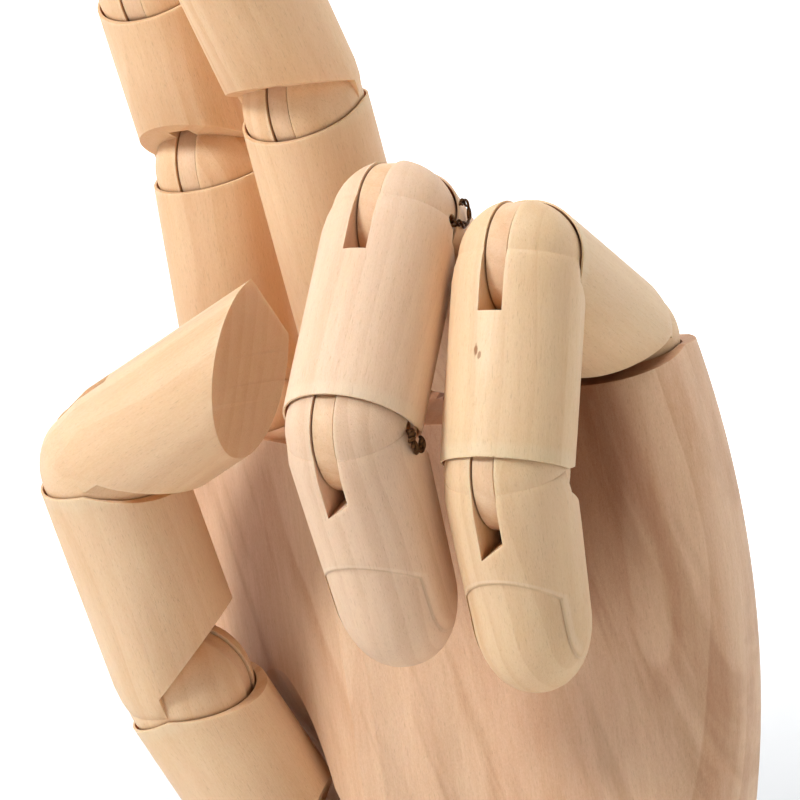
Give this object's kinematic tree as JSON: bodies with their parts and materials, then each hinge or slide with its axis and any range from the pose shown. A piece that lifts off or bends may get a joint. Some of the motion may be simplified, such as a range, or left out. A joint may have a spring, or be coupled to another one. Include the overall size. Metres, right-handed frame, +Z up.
{
  "type": "jointed hand mannequin",
  "caption": "Wooden left hand mannequin on a turned stand, with jointed fingers, thumb and wrist, for drawing practice and display.",
  "frame": {"origin": "centre of the flat underside of the stand", "axes": "+Z up through the wrist, -Y is the way the palm looks, -X is the thumb's side"},
  "size_m": [0.09, 0.0875, 0.2878],
  "materials": {
    "palm_wood": "fine sanded, unvarnished",
    "finger_wood": "fine sanded, unvarnished",
    "disc_wood": "sawn and sanded",
    "steel": "satin",
    "brass": "dull"
  },
  "bodies": {
    "stand": {"stand": "palm_wood", "wrist_keeper": "steel"},
    "wrist": {"wrist_disc": "disc_wood"},
    "palm": {"palm": "palm_wood", "wrist_pin": "steel", "index_knuckle_disc": "disc_wood", "middle_knuckle_disc": "disc_wood", "ring_knuckle_disc": "disc_wood", "little_knuckle_disc": "disc_wood"},
    "index_near": {"index_near": "finger_wood", "index_knuckle_pin": "steel", "index_mid_disc": "disc_wood"},
    "index_mid": {"index_mid": "finger_wood", "index_mid_pin": "steel", "index_end_disc": "disc_wood"},
    "index_tip": {"index_tip": "finger_wood", "index_end_pin": "steel"},
    "middle_near": {"middle_near": "finger_wood", "middle_knuckle_pin": "steel", "middle_mid_disc": "disc_wood"},
    "middle_mid": {"middle_mid": "finger_wood", "middle_mid_pin": "steel", "middle_end_disc": "disc_wood"},
    "middle_tip": {"middle_tip": "finger_wood", "middle_end_pin": "steel"},
    "ring_near": {"ring_near": "finger_wood", "ring_knuckle_pin": "steel", "ring_mid_disc": "disc_wood"},
    "ring_mid": {"ring_mid": "finger_wood", "ring_mid_pin": "brass", "ring_end_disc": "disc_wood"},
    "ring_tip": {"ring_tip": "finger_wood", "ring_end_pin": "brass"},
    "little_near": {"little_near": "finger_wood", "little_knuckle_pin": "steel", "little_mid_disc": "disc_wood"},
    "little_mid": {"little_mid": "finger_wood", "little_mid_pin": "steel", "little_end_disc": "disc_wood"},
    "little_tip": {"little_tip": "finger_wood", "little_end_pin": "steel"},
    "thumb_saddle": {"thumb_root_disc": "disc_wood"},
    "thumb_root": {"thumb_root": "finger_wood", "thumb_root_pin": "steel", "thumb_near_disc": "disc_wood"},
    "thumb_near": {"thumb_near": "finger_wood", "thumb_near_pin": "steel", "thumb_end_disc": "disc_wood"},
    "thumb_tip": {"thumb_tip": "finger_wood", "thumb_end_pin": "steel"}
  },
  "joints": [
    {"name": "wrist_turn", "type": "hinge", "parent": "stand", "child": "wrist", "pos_m": [0, 0, 0.104], "axis": [0, 0, 1], "range_deg": [-90, 90]},
    {"name": "wrist_bend", "type": "hinge", "parent": "wrist", "child": "palm", "pos_m": [0, 0, 0.104], "axis": [1, 0, 0], "range_deg": [-30, 30]},
    {"name": "index_knuckle", "type": "hinge", "parent": "palm", "child": "index_near", "pos_m": [-0.0294, 0, 0.1942], "axis": [1, -0.0087, -0.0035], "range_deg": [-12, 32]},
    {"name": "index_mid", "type": "hinge", "parent": "index_near", "child": "index_mid", "pos_m": [-0.02929, -0.00158, 0.23036], "axis": [1, -0.0087, -0.0035], "range_deg": [-15, 48]},
    {"name": "index_end", "type": "hinge", "parent": "index_mid", "child": "index_tip", "pos_m": [-0.02927, -0.01, 0.25707], "axis": [1, -0.0087, -0.0035], "range_deg": [-10, 52]},
    {"name": "middle_knuckle", "type": "hinge", "parent": "palm", "child": "middle_near", "pos_m": [-0.0094, 0, 0.1966], "axis": [0.9998, 0.0175, 0.0052], "range_deg": [-23, 20]},
    {"name": "middle_mid", "type": "hinge", "parent": "middle_near", "child": "middle_mid", "pos_m": [-0.00944, -0.0098, 0.23744], "axis": [0.9998, 0.0175, 0.0052], "range_deg": [-20, 43]},
    {"name": "middle_end", "type": "hinge", "parent": "middle_mid", "child": "middle_tip", "pos_m": [-0.00928, -0.02636, 0.26246], "axis": [0.9998, 0.0175, 0.0052], "range_deg": [-12, 50]},
    {"name": "ring_knuckle", "type": "hinge", "parent": "palm", "child": "ring_near", "pos_m": [0.0098, 0, 0.195], "axis": [0.9969, -0.0157, -0.0767], "range_deg": [-59, 14]},
    {"name": "ring_mid", "type": "hinge", "parent": "ring_near", "child": "ring_mid", "pos_m": [0.01134, -0.03019, 0.2212], "axis": [0.9969, -0.0157, -0.0767], "range_deg": [-95.5, 3]},
    {"name": "ring_end", "type": "hinge", "parent": "ring_mid", "child": "ring_tip", "pos_m": [0.00924, -0.04725, 0.19736], "axis": [-0.9969, 0.0157, 0.0767], "range_deg": [-7, 56]},
    {"name": "little_knuckle", "type": "hinge", "parent": "palm", "child": "little_near", "pos_m": [0.0282, 0, 0.1992], "axis": [0.9967, -0.0157, -0.0802], "range_deg": [-74, 3]},
    {"name": "little_mid", "type": "hinge", "parent": "little_near", "child": "little_mid", "pos_m": [0.02894, -0.03163, 0.21462], "axis": [0.9967, -0.0157, -0.0802], "range_deg": [-97, 2]},
    {"name": "little_end", "type": "hinge", "parent": "little_mid", "child": "little_tip", "pos_m": [0.02676, -0.04042, 0.18918], "axis": [-0.9967, 0.0157, 0.0802], "range_deg": [-32, 31]},
    {"name": "thumb_turn", "type": "hinge", "parent": "palm", "child": "thumb_saddle", "pos_m": [-0.0281, -0.0074, 0.1285], "axis": [0.457, 0.2904, -0.8407], "range_deg": [-6, 30]},
    {"name": "thumb_root", "type": "hinge", "parent": "thumb_saddle", "child": "thumb_root", "pos_m": [-0.0281, -0.0074, 0.1285], "axis": [-0.1005, 0.956, 0.2756], "range_deg": [-22, 4]},
    {"name": "thumb_near", "type": "hinge", "parent": "thumb_root", "child": "thumb_near", "pos_m": [-0.03789, -0.01708, 0.15849], "axis": [-0.1005, 0.956, 0.2756], "range_deg": [-15, 4]},
    {"name": "thumb_end", "type": "hinge", "parent": "thumb_near", "child": "thumb_tip", "pos_m": [-0.03934, -0.02713, 0.19282], "axis": [-0.1005, 0.956, 0.2756], "range_deg": [-68, 8]}
  ]
}
